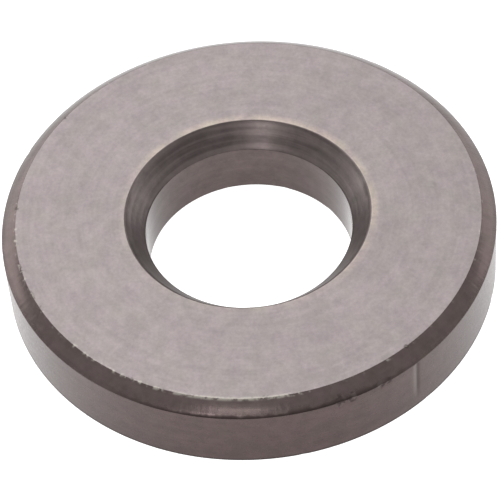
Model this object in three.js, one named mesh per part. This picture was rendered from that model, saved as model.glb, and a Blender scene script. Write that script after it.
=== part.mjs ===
// Heavy flat washer for a 10 mm bolt: one turned ring of hardened, black-oxide steel.
// Millimetres, +Z up. The origin is on the bolt axis, in the plane of the plain lower face.
// The upper face is chamfered at the rim, and at the bore, where a bolt's underhead fillet needs room.

import * as THREE from "three";

// Driving dimensions
const OUTER_DIAMETER = 25;
const BORE_DIAMETER = 10.5;
const THICKNESS = 4;
const RIM_CHAMFER = { radial: 0.75, axial: 0.6 };
const BORE_CHAMFER = { radial: 0.95, axial: 1.2 };
const EDGE_BREAK = 0.05; // both edges of the lower face, taken off when the ring is deburred
const SEGMENTS = 120; // flats round the ring; a multiple of 4 keeps the overall size exact

const BLACK_OXIDE = new THREE.MeshStandardMaterial({
  color: 0x978d8c,
  roughness: 0.45,
  metalness: 0.9,
});

// The ring's section as (radius, height) corners: up the rim, in along the upper face,
// down the bore and out along the lower face, back to the first corner.
function ringSection() {
  const rim = OUTER_DIAMETER / 2;
  const bore = BORE_DIAMETER / 2;
  const corners = [
    new THREE.Vector2(rim - EDGE_BREAK, 0),
    new THREE.Vector2(rim, EDGE_BREAK),
    new THREE.Vector2(rim, THICKNESS - RIM_CHAMFER.axial),
    new THREE.Vector2(rim - RIM_CHAMFER.radial, THICKNESS),
    new THREE.Vector2(bore + BORE_CHAMFER.radial, THICKNESS),
    new THREE.Vector2(bore, THICKNESS - BORE_CHAMFER.axial),
    new THREE.Vector2(bore, EDGE_BREAK),
    new THREE.Vector2(bore + EDGE_BREAK, 0),
  ];
  return [...corners, corners[0].clone()];
}

function flatWasher() {
  const washer = new THREE.Mesh(new THREE.LatheGeometry(ringSection(), SEGMENTS), BLACK_OXIDE);
  washer.name = "flat_washer";
  washer.rotation.x = Math.PI / 2; // a lathe turns about Y, and the bolt axis is Z
  return washer;
}

const part = new THREE.Group();
part.add(flatWasher());

export default part;
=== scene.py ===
"""A thick flat washer of black-oxide steel, standing on a pale studio floor. Metres, +Z up."""

import math

import bpy
from mathutils import Matrix, Vector


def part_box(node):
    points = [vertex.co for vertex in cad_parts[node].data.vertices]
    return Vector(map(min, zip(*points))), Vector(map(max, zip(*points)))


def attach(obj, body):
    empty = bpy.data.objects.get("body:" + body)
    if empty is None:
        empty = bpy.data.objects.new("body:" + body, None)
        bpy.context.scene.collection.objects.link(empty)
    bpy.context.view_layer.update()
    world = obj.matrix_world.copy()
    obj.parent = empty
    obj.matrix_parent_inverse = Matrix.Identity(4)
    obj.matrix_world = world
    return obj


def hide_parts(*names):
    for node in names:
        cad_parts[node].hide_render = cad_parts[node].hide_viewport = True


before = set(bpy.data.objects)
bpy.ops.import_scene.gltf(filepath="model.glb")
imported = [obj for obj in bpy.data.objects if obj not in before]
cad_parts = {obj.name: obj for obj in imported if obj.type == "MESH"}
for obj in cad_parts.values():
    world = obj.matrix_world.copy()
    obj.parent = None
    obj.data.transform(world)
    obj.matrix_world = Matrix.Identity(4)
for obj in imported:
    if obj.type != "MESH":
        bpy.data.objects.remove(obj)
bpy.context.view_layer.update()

MM = 0.001
WASHER = "flat_washer"

low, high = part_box(WASHER)
OUTER_RADIUS = (high.x - low.x) / 2
AXIS = Vector(((low.x + high.x) / 2, (low.y + high.y) / 2, 0))
TOP = high.z
FLOOR_REACH = 200 * OUTER_RADIUS


# Camera

SENSOR_WIDTH = 36.0  # mm
CAMERA_LENS = 195.8  # mm: a long lens, which flattens the perspective
CAMERA_ELEVATION = 50.09  # degrees
CAMERA_ROLL = -4.93  # degrees
# From the upper face's centre to the camera: right, up and back along its own axes, in outside radii.
CAMERA_OFFSET = Vector((0.0099, -0.156, 10.95))


def make_camera():
    data = bpy.data.cameras.new("camera")
    data.lens = CAMERA_LENS
    data.sensor_width = SENSOR_WIDTH
    data.clip_start = OUTER_RADIUS
    data.clip_end = FLOOR_REACH
    tilt = Matrix.Rotation(math.radians(90 - CAMERA_ELEVATION), 3, "X")
    turn = tilt @ Matrix.Rotation(math.radians(CAMERA_ROLL), 3, "Z")
    place = AXIS + Vector((0, 0, TOP)) + turn @ (CAMERA_OFFSET * OUTER_RADIUS)
    camera = bpy.data.objects.new("camera", data)
    camera.matrix_world = Matrix.Translation(place) @ turn.to_4x4()
    bpy.context.scene.collection.objects.link(camera)
    bpy.context.scene.camera = camera


# Section of the ring: its points are (radius, height), in metres

def cad_corners():
    """The corners between the ring's surfaces, anticlockwise, read from the CAD washer's own mesh."""
    points = {
        (round(math.hypot(v.co.x - AXIS.x, v.co.y - AXIS.y), 6), round(v.co.z, 6))
        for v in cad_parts[WASHER].data.vertices
    }
    rim = max(radius for radius, height in points)
    bore = min(radius for radius, height in points)
    face = [radius for radius, height in points if height == round(TOP, 6)]
    return {
        "rim_foot": Vector((rim, low.z)),
        "rim_shoulder": Vector((rim, max(height for radius, height in points if radius == rim))),
        "face_outer": Vector((max(face), TOP)),
        "face_inner": Vector((min(face), TOP)),
        "bore_shoulder": Vector((bore, max(height for radius, height in points if radius == bore))),
        "bore_foot": Vector((bore, low.z)),
    }


CORNERS = cad_corners()
STRETCHES = ["rim", "rim_chamfer", "face", "bore_chamfer", "bore", "base"]  # each follows its corner
EDGE_RADIUS = {  # how far tumbling and handling have rounded each edge
    "rim_foot": 0.05 * MM,
    "rim_shoulder": 0.07 * MM,
    "face_outer": 0.06 * MM,
    "face_inner": 0.14 * MM,
    "bore_shoulder": 0.07 * MM,
    "bore_foot": 0.05 * MM,
}
ARC_STEPS = 6  # points on the small arc that rounds each edge
FINEST_STEP = 0.03 * MM  # between points beside an edge
WIDEST_STEP = 0.6 * MM
STEP_GROWTH = 1.7
GROOVE_PITCH = 0.38 * MM  # the tool's feed in the bore chamfer
GROOVE_DEPTH = 0.002 * MM
STEPS_PER_GROOVE = 8
CROWN = 0.030 * MM  # how far the middle of the rim chamfer stands proud of a straight cut


def rounded_edge(before, corner, after, radius):
    """Points and outward directions round a small arc that takes the corner off."""
    inward = (corner - before).normalized()
    outward = (after - corner).normalized()
    bend = inward.angle(outward)
    start = corner - inward * radius * math.tan(bend / 2)
    spoke = Vector((inward.y, -inward.x))
    centre = start - spoke * radius
    spokes = [Matrix.Rotation(bend * i / ARC_STEPS, 2) @ spoke for i in range(ARC_STEPS + 1)]
    return [(centre + spoke * radius, spoke) for spoke in spokes]


def graded_shares(length):
    """Places along a stretch, as shares of it: close together at its ends and wider in its middle."""
    half, step, place = [], FINEST_STEP, FINEST_STEP
    while place < length / 2:
        half.append(place / length)
        step = min(step * STEP_GROWTH, WIDEST_STEP)
        place += step
    return half + [0.5] + [1 - share for share in reversed(half)]


def even_shares(length):
    count = round(length / GROOVE_PITCH * STEPS_PER_GROOVE)
    return [i / count for i in range(1, count)]


def stretch_relief(stretch, share, length):
    """How far a stretch stands proud of a straight line."""
    if stretch == "bore_chamfer":
        turn = 2 * math.pi * share * length / GROOVE_PITCH
        return GROOVE_DEPTH * (math.cos(turn) - 1) / 2
    if stretch == "rim_chamfer":
        return CROWN * (1 - (2 * share - 1) ** 2)
    return 0.0


def ring_section():
    """The whole closed section as a list of points with their outward directions."""
    corners = list(CORNERS.values())
    arcs = []
    for i, (name, corner) in enumerate(CORNERS.items()):
        after = corners[(i + 1) % len(corners)]
        arcs.append(rounded_edge(corners[i - 1], corner, after, EDGE_RADIUS[name]))
    section = []
    for i, stretch in enumerate(STRETCHES):
        start, end = arcs[i][-1][0], arcs[(i + 1) % len(arcs)][0][0]
        length = (end - start).length
        along = (end - start) / length
        outward = Vector((along.y, -along.x))
        section += arcs[i]
        for share in even_shares(length) if stretch == "bore_chamfer" else graded_shares(length):
            relief = stretch_relief(stretch, share, length)
            section.append((start + along * share * length + outward * relief, outward))
    return section


# Marks of use on the ring

# The dings that the photo shows. Each has its edge, its azimuth in degrees from the camera's side, and its
# half length, reach and depth.
SEEN_DINGS = [
    ("rim_shoulder", 17.0, 0.30 * MM, 0.42 * MM, 0.045 * MM),
    ("rim_shoulder", 19.8, 0.26 * MM, 0.34 * MM, 0.040 * MM),
    ("rim_shoulder", 27.0, 0.24 * MM, 0.26 * MM, 0.035 * MM),
    ("rim_shoulder", 29.0, 0.20 * MM, 0.20 * MM, 0.025 * MM),
    ("face_outer", -78.0, 0.35 * MM, 0.12 * MM, 0.010 * MM),
    ("face_outer", -69.0, 0.45 * MM, 0.12 * MM, 0.012 * MM),
    ("face_outer", 37.0, 0.25 * MM, 0.12 * MM, 0.014 * MM),
]
GOLDEN_ANGLE = 137.508  # degrees; steps of this size never fall on an earlier ding
SPREAD_EDGES = ["face_outer", "rim_foot", "rim_shoulder", "bore_foot", "bore_foot"]
SPREAD_ROUNDS = 5
SPREAD_REACH = 0.13 * MM
SHORTEST_SPREAD = 0.18 * MM  # half length
SPREAD_LENGTH_STEP = 0.05 * MM
SHALLOWEST_SPREAD = 0.010 * MM
SPREAD_DEPTH_STEP = 0.004 * MM


def spread_dings():
    """Small invented dings round the ring, in a few lengths and depths."""
    dings = []
    for i, edge in enumerate(SPREAD_EDGES * SPREAD_ROUNDS):
        half_length = SHORTEST_SPREAD + SPREAD_LENGTH_STEP * (i % 5)
        depth = SHALLOWEST_SPREAD + SPREAD_DEPTH_STEP * (i % 4)
        dings.append((edge, GOLDEN_ANGLE * i, half_length, SPREAD_REACH, depth))
    return dings


DINGS = SEEN_DINGS + spread_dings()
SCRATCH_AZIMUTH = 37.0  # degrees
SCRATCH_WIDTH = 0.12 * MM
SCRATCH_DEPTH = 0.020 * MM
SCRATCH_FOOT = 0.2  # where it ends, as a share of the rim's height
SCRATCH_FADE = 4  # how fast it deepens above its foot
SCRATCH_SPAN = 4  # half of what is worked out round it, in its widths
LIP_PLACE = -1.7  # of the metal that it pushed aside, in its widths
LIP_HEIGHT = 0.5  # as a share of the scratch's depth
RIM_OUTWARD = 0.99  # a section point whose direction points out at least this much is on the rim's wall


def from_azimuth(azimuth, other):
    """The angle between two azimuths in degrees, from -180 to 180."""
    return (azimuth - other + 180) % 360 - 180


def ding(azimuth, point):
    """How deep the deepest ding is at a point of the section, and how far into a ding the point is."""
    depth, share = 0.0, 0.0
    for edge, centre, half_length, reach, deepest in DINGS:
        along = math.radians(from_azimuth(azimuth, centre)) * point.x / half_length
        if abs(along) < 1:
            across = (point - CORNERS[edge]).length / reach
            inside = max(0.0, 1 - along**2 - across**2)
            depth = max(depth, deepest * inside**1.5)
            share = max(share, inside)
    return depth, share


def scratch(azimuth, point, outward):
    """A score down the rim: how deep its groove is, and how high the metal is that it pushed aside."""
    across = math.radians(from_azimuth(azimuth, SCRATCH_AZIMUTH)) * OUTER_RADIUS / SCRATCH_WIDTH
    if abs(across) > SCRATCH_SPAN or outward.x < RIM_OUTWARD:
        return 0.0, 0.0
    above_foot = point.y / CORNERS["rim_shoulder"].y - SCRATCH_FOOT
    fade = min(1.0, max(0.0, above_foot * SCRATCH_FADE))
    return fade * math.exp(-(across**2)), fade * math.exp(-((across - LIP_PLACE) ** 2))


# Washer

COLUMNS = 600
FINE_COLUMN = 0.12  # degrees, beside the scratch
FINE_REACH = 1.2  # degrees, to each side of the scratch


def column_azimuths():
    even = [360 * i / COLUMNS for i in range(COLUMNS)]
    coarse = [a for a in even if abs(from_azimuth(a, SCRATCH_AZIMUTH)) > FINE_REACH]
    count = round(FINE_REACH / FINE_COLUMN)
    fine = [SCRATCH_AZIMUTH + FINE_COLUMN * i for i in range(-count, count + 1)]
    return sorted(coarse + fine)


def ring_point(azimuth, point, outward):
    """A point of the section turned to an azimuth, with how much of a scar, groove or lip it is on."""
    dent, scar = ding(azimuth, point)
    groove, lip = scratch(azimuth, point, outward)
    radius, height = point + outward * (SCRATCH_DEPTH * (LIP_HEIGHT * lip - groove) - dent)
    turn = math.radians(azimuth)
    place = AXIS + Vector((radius * math.sin(turn), -radius * math.cos(turn), height))
    return place, scar, groove, lip


def make_washer():
    section = ring_section()
    azimuths = column_azimuths()
    stations = [ring_point(azimuth, *station) for azimuth in azimuths for station in section]
    size = len(section)
    faces = []
    for i in range(len(azimuths)):
        this, after = i * size, (i + 1) % len(azimuths) * size
        for j in range(size):
            k = (j + 1) % size
            faces.append((this + j, after + j, after + k, this + k))
    mesh = bpy.data.meshes.new("turned_washer")
    mesh.from_pydata([station[0] for station in stations], [], faces)
    mesh.shade_smooth()
    for i, name in enumerate(["scar", "groove", "lip"], start=1):
        attribute = mesh.attributes.new(name, "FLOAT", "POINT")
        attribute.data.foreach_set("value", [station[i] for station in stations])
    mesh.update()
    washer = bpy.data.objects.new("turned_washer", mesh)
    washer.data.materials.append(black_oxide_steel())
    bpy.context.scene.collection.objects.link(washer)
    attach(washer, "root")
    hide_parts(WASHER)


# Steel

NO_TINT = (1, 1, 1, 1)
COLOUR = {
    "rim": (0.074, 0.051, 0.049, 1),
    "rim_chamfer": (0.090, 0.069, 0.066, 1),
    "face": (0.193, 0.165, 0.165, 1),
    "bore_chamfer": (0.196, 0.168, 0.164, 1),
    "bore": (0.100, 0.077, 0.074, 1),
}
ROUGHNESS = {"rim": 0.29, "rim_chamfer": 0.22, "face": 0.40, "bore_chamfer": 0.36, "bore": 0.17}
GLANCING_TINT = {  # of the reflections at a glancing angle; the exported model doesn't carry it
    "rim": NO_TINT,
    "rim_chamfer": (0.80, 0.80, 0.80, 1),
    "face": NO_TINT,
    "bore_chamfer": (0.36, 0.36, 0.36, 1),
    "bore": NO_TINT,
}
FACE_METALLIC = 0.6
SIDE_METALLIC = 0.9
# roughness where the painted shade lines and the soot lie
SHADE_AND_GRIME_ROUGHNESS = 0.6
IOR = 1.6

# How far |normal.z| has to rise for a surface to count as a chamfer, and as a face
CHAMFER_LEVEL = (0.1, 0.4)
FACE_LEVEL = (0.97, 0.9995)

# How much each pattern lightens and darkens the steel
CLOUDS = 0.02
MOTTLING = 0.09
GRAIN = 0.10
TURNING = 0.05
# painted light and dark bands along the turning marks at the back of the bore's chamfer, standing in for
# their reflections
PAINTED_TURNING_BANDS = 0.22
GRAIN_ROUGHNESS = 0.03
REDDER = (1.02, 0.99, 1.02, 1)
GREENER = (0.98, 1.01, 0.97, 1)

# painted shade along the rim's shoulder, the bore chamfer's edges and the foot, and soot in the dings and the
# scratch
SHADE_AND_SOOT = (0.30, 0.27, 0.27, 1)
# painted highlight of the warm band round the bore
WARM_HIGHLIGHT = (1.52, 1.47, 1.28, 1)
# bare metal, and a painted highlight along the upper face's outer edge
BURNISHED_AND_LIT = (0.31, 0.285, 0.255, 1)

# The painted shade on the bore's chamfer, the warm band's painted highlight and the outer edge's painted
# highlight over its wear sit where the photo shows them from its own side, so the steel differs round the
# ring. Azimuths are in degrees from the camera's side.
WARM_HIGHLIGHT_AZIMUTH = 145  # where the warm band round the bore, a painted highlight, is brightest
WORN_AND_LIT_AZIMUTH = -8  # of the stretch of the upper face's outer edge that is worn bright and carries a painted highlight
CHIPPED_AND_LIT_AZIMUTH = -50  # of the longer stretch of that edge where flecks, partly a painted highlight, are thickest
BORE_PAINTED_SHADE = 0.78  # painted shade at the back of the bore's chamfer

# Reach of the marks from their edges, in millimetres, and their strength
# the shoulder and foot lines are painted shade
SHOULDER_REACH = 0.20
FOOT_REACH = 0.20
# the warm band is a painted highlight; the worn edge is partly one
WARM_HIGHLIGHT_REACH = 0.60
WORN_AND_LIT_REACH = 0.17
RUBBED_REACH = 0.14
# painted shade in bands at the top and foot of the bore's chamfer
CHAMFER_TOP_SHADE = 0.6
CHAMFER_FOOT_SHADE = 0.8
DING_SOOT = 0.7
SCRATCH_SOOT = 0.4
RUBBED_SHINE = 0.6
DING_SHINE = 0.07
LIP_SHINE = 0.18

BUMP_HEIGHT = 0.004 * MM
CHATTER = 3.5  # height of the chatter marks across the rim's chamfer, where the turning marks are 1


class Nodes:
    """Adds nodes to one material. Each call returns the new node's output, ready to feed the next."""

    def __init__(self, name):
        self.material = bpy.data.materials.new(name)
        self.material.use_nodes = True
        self.tree = self.material.node_tree
        self.shader = self.tree.nodes["Principled BSDF"]

    def feed(self, socket, value):
        if isinstance(value, bpy.types.NodeSocket):
            self.tree.links.new(value, socket)
        else:
            socket.default_value = value

    def add(self, kind, values, output=0, **settings):
        node = self.tree.nodes.new(kind)
        for name, setting in settings.items():
            setattr(node, name, setting)
        for place, value in values.items():
            self.feed(node.inputs[place], value)
        return node.outputs[output]

    def maths(self, operation, first, second=0.0):
        return self.add("ShaderNodeMath", {0: first, 1: second}, operation=operation)

    def total(self, first, *others):
        for other in others:
            first = self.maths("ADD", first, other)
        return first

    def product(self, first, *others):
        for other in others:
            first = self.maths("MULTIPLY", first, other)
        return first

    def highest(self, first, *others):
        for other in others:
            first = self.maths("MAXIMUM", first, other)
        return first

    def opposite(self, share):
        return self.maths("SUBTRACT", 1.0, share)

    def hypotenuse(self, across, up):
        return self.maths("SQRT", self.total(self.product(across, across), self.product(up, up)))

    def split(self, vector):
        node = self.tree.nodes.new("ShaderNodeSeparateXYZ")
        self.feed(node.inputs[0], vector)
        return node.outputs

    def join(self, x=0.0, y=0.0, z=0.0):
        return self.add("ShaderNodeCombineXYZ", {0: x, 1: y, 2: z})

    def scaled(self, vector, by):
        values = {"Vector": vector, "Scale": by}
        return self.add("ShaderNodeVectorMath", values, operation="SCALE")

    def ramp(self, value, start, end, to_start=0.0, to_end=1.0):
        """to_start below start and to_end above end, smoothly in between."""
        values = {0: value, 1: start, 2: end, 3: to_start, 4: to_end}
        return self.add("ShaderNodeMapRange", values, interpolation_type="SMOOTHSTEP")

    def swing(self, noise, amount):
        """A noise spread over its usual range, from minus an amount to plus that amount."""
        return self.ramp(noise, 0.3, 0.7, -amount, amount)

    def blend(self, share, first, second):
        values = {0: share, 6: first, 7: second}
        return self.add("ShaderNodeMix", values, output=2, data_type="RGBA")

    def blend_value(self, share, first, second):
        return self.add("ShaderNodeMix", {0: share, 2: first, 3: second})

    def tinted(self, colour, tint):
        values = {0: 1.0, 6: colour, 7: tint}
        return self.add("ShaderNodeMix", values, output=2, data_type="RGBA", blend_type="MULTIPLY")

    def noise(self, vector, scale, detail=2.0, w=0.0, roughness=0.5):
        values = {"Vector": vector, "W": w, "Scale": scale, "Detail": detail, "Roughness": roughness}
        return self.add("ShaderNodeTexNoise", values, noise_dimensions="4D")


class RingNodes(Nodes):
    """Nodes that know where a point is on the ring, in millimetres, and which of its surfaces that is."""

    def __init__(self, name):
        super().__init__(name)
        coordinates = self.tree.nodes.new("ShaderNodeTexCoord").outputs
        self.place = self.scaled(coordinates["Object"], 1 / MM)
        x, y, self.z = self.split(self.place)
        self.radius = self.hypotenuse(x, y)
        self.sideways = self.maths("DIVIDE", x, self.radius)
        self.backwards = self.maths("DIVIDE", y, self.radius)
        level = self.maths("ABSOLUTE", self.split(coordinates["Normal"])[2])
        middle = (CORNERS["face_outer"].x + CORNERS["face_inner"].x) / 2 / MM
        self.inner = self.maths("LESS_THAN", self.radius, middle)
        self.face = self.ramp(level, *FACE_LEVEL)
        self.off_wall = self.ramp(level, *CHAMFER_LEVEL)
        self.sloped = self.product(self.off_wall, self.opposite(self.face))
        turned = self.join(self.sideways, self.backwards, self.product(self.radius, 4.0))
        self.turning = self.noise(turned, 1.0, detail=3.0, w=self.product(self.z, 4.0))
        self.grain = self.noise(self.place, 5.0, detail=3.0, roughness=0.7)
        self.uneven = self.noise(self.place, 1.3, detail=3.0, w=5.0)
        self.flecks = self.noise(self.place, 4.0, detail=2.0, w=6.0)
        self.pitted = self.ramp(self.flecks, 0.40, 0.60)
        self.bruise = self.ramp(self.mark("scar"), 0.05, 0.4)

    def mark(self, name):
        return self.add("ShaderNodeAttribute", {}, output=2, attribute_name=name)

    def by_stretch(self, values, blend):
        """Each stretch's own value, blended over at the edges. The lower face is like the upper one."""
        wall = blend(self.inner, values["rim"], values["bore"])
        chamfer = blend(self.inner, values["rim_chamfer"], values["bore_chamfer"])
        return blend(self.face, blend(self.off_wall, wall, chamfer), values["face"])

    def closeness(self, edge, reach):
        """1 at one of the ring's edges, falling to 0 at a distance from it."""
        corner = CORNERS[edge] / MM
        across = self.maths("SUBTRACT", self.radius, corner.x)
        up = self.maths("SUBTRACT", self.z, corner.y)
        return self.ramp(self.hypotenuse(across, up), 0.0, reach, 1.0, 0.0)

    def facing(self, azimuth):
        """1 at an azimuth, falling to -1 on the ring's opposite side."""
        turn = math.radians(azimuth)
        return self.total(
            self.product(self.sideways, math.sin(turn)), self.product(self.backwards, -math.cos(turn))
        )


def far_side_painted_shade(ring):
    """Painted shade: the bore's chamfer is darker on the side away from the camera."""
    behind = ring.ramp(ring.backwards, 0.0, 0.9, to_end=BORE_PAINTED_SHADE)
    return ring.product(behind, ring.sloped, ring.inner)


def patterned(ring, colour, far_painted_shade):
    """Clouds, mottling, grain and turning marks, painted light and dark bands along the turning marks at the
    back of the bore's chamfer, and patches that are slightly redder or greener.
    """
    cloud = ring.noise(ring.place, 0.32, detail=2.0, w=3.0)
    mottle = ring.noise(ring.place, 1.6, detail=3.0, w=2.0, roughness=0.6)
    shade = ring.total(
        1.0,
        ring.swing(cloud, CLOUDS),
        ring.swing(mottle, MOTTLING),
        ring.product(ring.swing(ring.grain, GRAIN), ring.blend_value(ring.face, 0.5, 1.0)),
        ring.swing(ring.turning, TURNING),
        ring.product(ring.ramp(ring.turning, 0.36, 0.64, -PAINTED_TURNING_BANDS, PAINTED_TURNING_BANDS), far_painted_shade),
    )
    colour = ring.tinted(colour, ring.join(shade, shade, shade))
    hue = ring.ramp(ring.noise(ring.place, 1.2, detail=3.0, w=8.0), 0.3, 0.7)
    return ring.tinted(colour, ring.blend(hue, REDDER, GREENER))


def edge_shade_and_grime(ring):
    """Painted shade under the rim's shoulder on the camera's side, at the bore chamfer's edges and at the
    foot; soot in dings and the scratch.
    """
    line_reach = ring.ramp(ring.uneven, 0.38, 0.60, to_start=0.18, to_end=0.42)
    # the painted shade under the rim's shoulder is strongest on the camera's side
    near_side = ring.ramp(ring.backwards, -0.97, -0.75, to_start=1.0, to_end=0.2)
    band_reach = ring.ramp(ring.uneven, 0.35, 0.65, to_start=0.25, to_end=0.50)
    return ring.highest(
        ring.product(ring.closeness("rim_shoulder", line_reach), ring.sloped, near_side),
        ring.product(ring.closeness("face_inner", band_reach), ring.sloped, CHAMFER_TOP_SHADE),
        ring.product(ring.closeness("bore_shoulder", SHOULDER_REACH), ring.sloped, CHAMFER_FOOT_SHADE),
        ring.closeness("rim_foot", FOOT_REACH),
        ring.product(ring.bruise, ring.pitted, DING_SOOT),
        ring.product(ring.mark("groove"), SCRATCH_SOOT),
    )


def warm_highlight_band(ring):
    """A painted highlight: a cream band on the upper face round the bore, brightest at the back right."""
    broken = ring.ramp(ring.uneven, 0.35, 0.6, to_start=0.4)
    brighter_side = ring.ramp(ring.facing(WARM_HIGHLIGHT_AZIMUTH), -0.8, 0.6, to_start=0.25)
    return ring.product(ring.closeness("face_inner", WARM_HIGHLIGHT_REACH), ring.face, broken, brighter_side)


def bare_metal_and_highlight(ring):
    """Flecks where handling has bared the upper face's two edges, with a painted highlight on the outer edge
    toward the camera's side, and glints in the dings and the scratch.
    """
    # painted highlight: the outer edge's flecks thicken toward the camera's side and its front left
    lit_bias = ring.highest(
        ring.ramp(ring.facing(WORN_AND_LIT_AZIMUTH), 0.93, 0.99, to_end=0.22),
        ring.ramp(ring.facing(CHIPPED_AND_LIT_AZIMUTH), 0.5, 0.8, to_end=0.08),
    )
    worn_and_lit = ring.ramp(ring.total(ring.flecks, lit_bias), 0.58, 0.76)
    rubbed = ring.product(
        ring.ramp(ring.flecks, 0.42, 0.60), ring.ramp(ring.uneven, 0.4, 0.6, to_start=0.2)
    )
    return ring.highest(
        ring.product(ring.closeness("face_outer", WORN_AND_LIT_REACH), worn_and_lit),
        ring.product(ring.closeness("face_inner", RUBBED_REACH), rubbed, ring.face, RUBBED_SHINE),
        ring.product(ring.bruise, ring.opposite(ring.pitted), DING_SHINE),
        ring.product(ring.mark("lip"), LIP_SHINE),
    )


def relief(ring):
    """Fine height of the surface: turning marks and grain, and chatter marks across the rim's chamfer."""
    spokes = ring.scaled(ring.join(ring.sideways, ring.backwards), 40.0)
    chatter = ring.noise(spokes, 1.0, detail=2.0, w=ring.product(ring.radius, 0.6))
    return ring.total(
        ring.turning,
        ring.product(ring.grain, ring.blend_value(ring.face, 0.1, 0.3)),
        ring.product(chatter, ring.sloped, ring.opposite(ring.inner), CHATTER),
    )


def black_oxide_steel():
    ring = RingNodes("black_oxide_steel")
    far_painted_shade = far_side_painted_shade(ring)
    # painted shade at the edges, the foot and the far side of the bore's chamfer, with soot in the dings and
    # the scratch
    shade_and_grime = ring.highest(edge_shade_and_grime(ring), far_painted_shade)
    colour = patterned(ring, ring.by_stretch(COLOUR, ring.blend), far_painted_shade)
    colour = ring.tinted(colour, ring.blend(shade_and_grime, NO_TINT, SHADE_AND_SOOT))
    colour = ring.tinted(colour, ring.blend(warm_highlight_band(ring), NO_TINT, WARM_HIGHLIGHT))
    colour = ring.blend(bare_metal_and_highlight(ring), colour, BURNISHED_AND_LIT)
    clean = ring.by_stretch(ROUGHNESS, ring.blend_value)
    loose_shade_and_grime = ring.maths("SUBTRACT", shade_and_grime, far_painted_shade)
    roughness = ring.total(
        ring.blend_value(loose_shade_and_grime, clean, SHADE_AND_GRIME_ROUGHNESS), ring.swing(ring.grain, GRAIN_ROUGHNESS)
    )
    bump = {"Height": relief(ring), "Distance": BUMP_HEIGHT, "Strength": 1.0}
    inputs = ring.shader.inputs
    ring.feed(inputs["Base Color"], colour)
    ring.feed(inputs["Roughness"], roughness)
    ring.feed(inputs["Metallic"], ring.blend_value(ring.face, SIDE_METALLIC, FACE_METALLIC))
    ring.feed(inputs["Specular Tint"], ring.by_stretch(GLANCING_TINT, ring.blend))
    ring.feed(inputs["Normal"], ring.add("ShaderNodeBump", bump))
    inputs["IOR"].default_value = IOR
    return ring.material


# Stage

WHITE = (1, 1, 1, 1)
FLOOR_GREY = (0.6, 0.6, 0.6, 1)
FLOOR_ROUGHNESS = 0.8
FLOOR_GLOW = 0.9  # brings the floor up to the photo's plain white
WORLD_BRIGHTNESS = 1.0
SOFTBOX_DISTANCE = 24 * OUTER_RADIUS


def make_floor():
    mesh = bpy.data.meshes.new("floor")
    reach = FLOOR_REACH
    corners = [(-reach, -reach, 0), (reach, -reach, 0), (reach, reach, 0), (-reach, reach, 0)]
    mesh.from_pydata(corners, [], [(0, 1, 2, 3)])
    floor = bpy.data.objects.new("floor", mesh)
    bpy.context.scene.collection.objects.link(floor)
    material = bpy.data.materials.new("pale_floor")
    material.use_nodes = True
    shader = material.node_tree.nodes["Principled BSDF"]
    shader.inputs["Base Color"].default_value = FLOOR_GREY
    shader.inputs["Roughness"].default_value = FLOOR_ROUGHNESS
    shader.inputs["Emission Color"].default_value = WHITE
    shader.inputs["Emission Strength"].default_value = FLOOR_GLOW
    floor.data.materials.append(material)


def make_world():
    world = bpy.data.worlds.new("studio")
    world.use_nodes = True
    background = world.node_tree.nodes["Background"]
    background.inputs["Color"].default_value = WHITE
    background.inputs["Strength"].default_value = WORLD_BRIGHTNESS
    bpy.context.scene.world = world
    bpy.context.scene.view_settings.view_transform = "Standard"


def make_softbox(name, azimuth, elevation, width, height, brightness):
    """A soft panel that faces the washer, its width and height in outside radii of the washer.

    Azimuth 0 is the camera's side, and 180 is behind the washer.
    """
    data = bpy.data.lights.new(name, "AREA")
    data.shape = "RECTANGLE"
    data.size = width * OUTER_RADIUS
    data.size_y = height * OUTER_RADIUS
    data.energy = brightness * math.pi * data.size * data.size_y
    side, rise = math.radians(azimuth), math.radians(elevation)
    towards = Vector(
        (math.sin(side) * math.cos(rise), -math.cos(side) * math.cos(rise), math.sin(rise))
    )
    light = bpy.data.objects.new(name, data)
    light.location = AXIS + towards * SOFTBOX_DISTANCE
    light.rotation_euler = towards.to_track_quat("Z", "Y").to_euler()
    light.visible_camera = False
    bpy.context.scene.collection.objects.link(light)


make_camera()
make_washer()
make_floor()
make_world()
make_softbox("key", azimuth=203, elevation=54, width=24, height=24, brightness=1.8)
make_softbox("left_panel", azimuth=229, elevation=8, width=22.4, height=11.2, brightness=1.8)
make_softbox("right_panel", azimuth=125, elevation=10, width=20, height=11.2, brightness=1.3)
make_softbox("rim_lamp", azimuth=-12, elevation=45, width=8, height=1.6, brightness=4.6)
make_softbox("bore_lamp", azimuth=-19, elevation=30, width=4, height=3.2, brightness=17.0)
